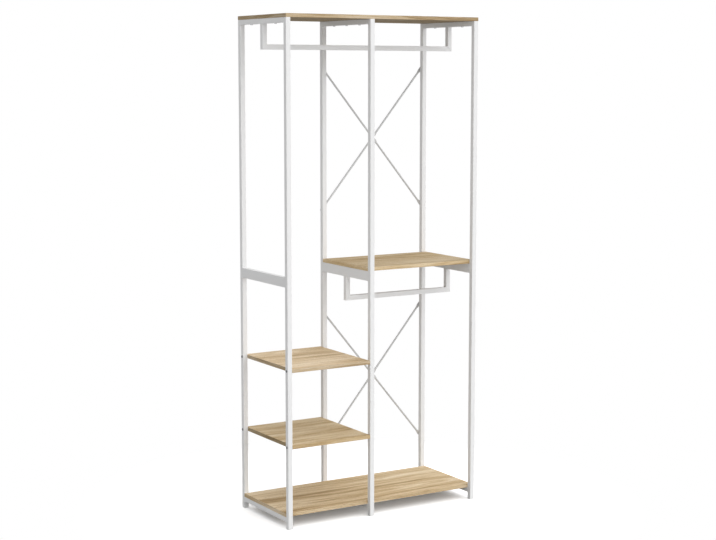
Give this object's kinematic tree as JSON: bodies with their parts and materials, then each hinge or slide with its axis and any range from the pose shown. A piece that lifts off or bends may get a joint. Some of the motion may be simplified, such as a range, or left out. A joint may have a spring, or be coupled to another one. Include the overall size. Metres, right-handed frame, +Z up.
{
  "type": "open frame wardrobe",
  "caption": "Freestanding open wardrobe of white square-tube frames with oak-effect boards, hanging rails at a high and a low level, small side shelves and crossed rear braces.",
  "frame": {"origin": "on the floor, under the middle of the footprint", "axes": "+X to the right seen from the front, +Y to the rear, where the braces are, +Z up"},
  "size_m": [0.9018, 0.4105, 2.025],
  "materials": {
    "white_coating": "white powder coat, satin",
    "oak_board": "light oak-effect melamine on chipboard, matt",
    "foot_plastic": "white moulded plastic",
    "dark_screw": "dark plated",
    "zinc_fixing": "zinc plated"
  },
  "bodies": {
    "root": {"bottom_board": "oak_board", "bottom_board_screws": "zinc_fixing", "centre_bottom_rail": "white_coating", "centre_front_foot_plug": "foot_plastic", "centre_front_upright": "white_coating", "centre_middle_rail": "white_coating", "centre_rear_foot_plug": "foot_plastic", "centre_rear_upright": "white_coating", "centre_top_rail": "white_coating", "hanger_bolts": "zinc_fixing", "hanger_thread_plates": "zinc_fixing", "left_bottom_rail": "white_coating", "left_front_foot_plug": "foot_plastic", "left_front_upright": "white_coating", "left_middle_rail": "white_coating", "left_rear_foot_plug": "foot_plastic", "left_rear_upright": "white_coating", "left_top_rail": "white_coating", "long_brace_screws": "zinc_fixing", "lower_brace_disc": "white_coating", "lower_brace_falling_rod": "white_coating", "lower_brace_left_spacer": "zinc_fixing", "lower_brace_right_spacer": "zinc_fixing", "lower_brace_rising_rod": "white_coating", "lower_brace_rivet": "white_coating", "lower_hanging_bar": "white_coating", "lower_left_hanger_drop": "white_coating", "lower_right_hanger_drop": "white_coating", "lower_small_shelf": "oak_board", "lower_small_shelf_screws": "dark_screw", "middle_shelf": "oak_board", "middle_shelf_screws": "zinc_fixing", "right_bottom_rail": "white_coating", "right_front_foot_plug": "foot_plastic", "right_front_upright": "white_coating", "right_middle_rail": "white_coating", "right_rear_foot_plug": "foot_plastic", "right_rear_upright": "white_coating", "right_top_rail": "white_coating", "short_brace_screws": "zinc_fixing", "top_board": "oak_board", "top_board_screws": "zinc_fixing", "top_hanging_bar": "white_coating", "top_left_hanger_drop": "white_coating", "top_right_hanger_drop": "white_coating", "upper_brace_disc": "white_coating", "upper_brace_falling_rod": "white_coating", "upper_brace_left_spacer": "zinc_fixing", "upper_brace_right_spacer": "zinc_fixing", "upper_brace_rising_rod": "white_coating", "upper_brace_rivet": "white_coating", "upper_small_shelf": "oak_board", "upper_small_shelf_screws": "dark_screw"}
  },
  "joints": []
}
